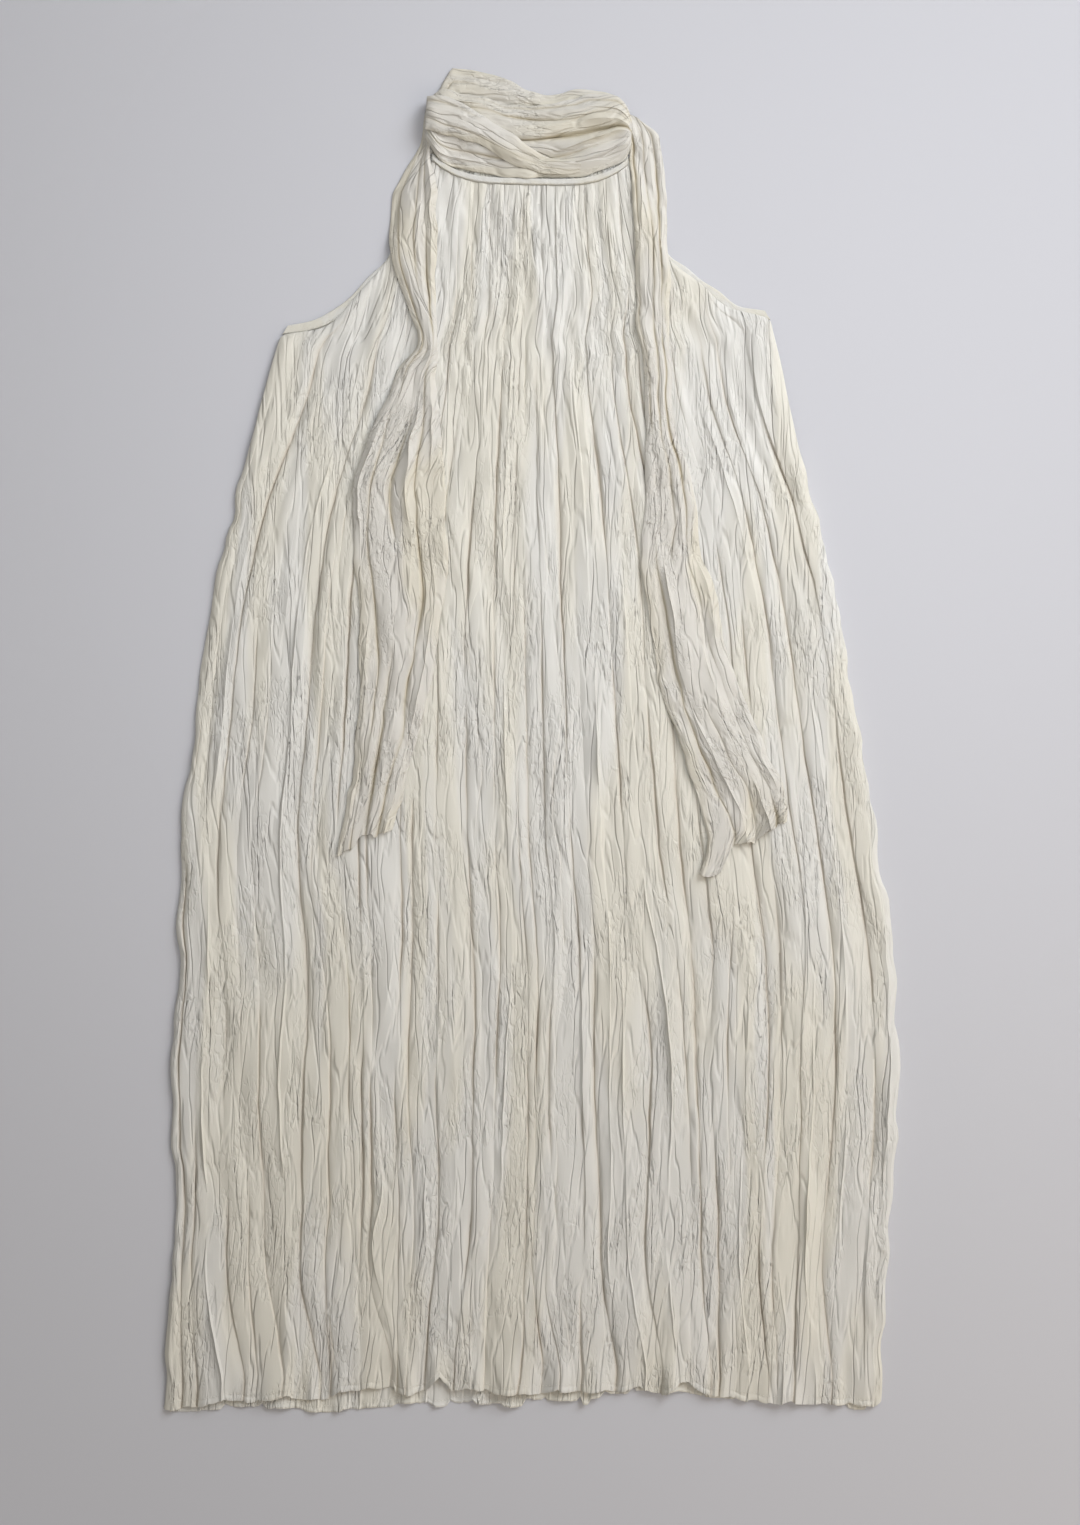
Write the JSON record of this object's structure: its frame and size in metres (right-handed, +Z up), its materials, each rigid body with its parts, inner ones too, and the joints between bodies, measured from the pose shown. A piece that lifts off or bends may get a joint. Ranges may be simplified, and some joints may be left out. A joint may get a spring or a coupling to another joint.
{
  "type": "halter dress",
  "caption": "Long halter dress in crinkle-pleated ivory satin, with a scarf wound round the neck and scarf tails down the front, laid flat.",
  "frame": {"origin": "on the surface that the dress lies on, under the middle of its box", "axes": "+Z up off the surface, +Y along the dress from hem to collar, +X to the right as seen from above with the collar away from the viewer"},
  "size_m": [0.697, 1.2749, 0.0219],
  "materials": {
    "crinkle_satin": "crinkle-pleated ivory satin, soft sheen",
    "scarf_satin": "crinkled ivory satin, soft sheen",
    "binding_satin": "plain folded ivory satin"
  },
  "bodies": {
    "root": {"back_panel": "crinkle_satin", "front_panel": "crinkle_satin", "neck_binding": "binding_satin", "armhole_binding_left": "binding_satin", "armhole_binding_right": "binding_satin", "scarf_back": "scarf_satin", "scarf_front_under": "scarf_satin", "scarf_front_over": "scarf_satin", "scarf_tail_left": "scarf_satin", "scarf_tail_right": "scarf_satin"}
  },
  "joints": []
}
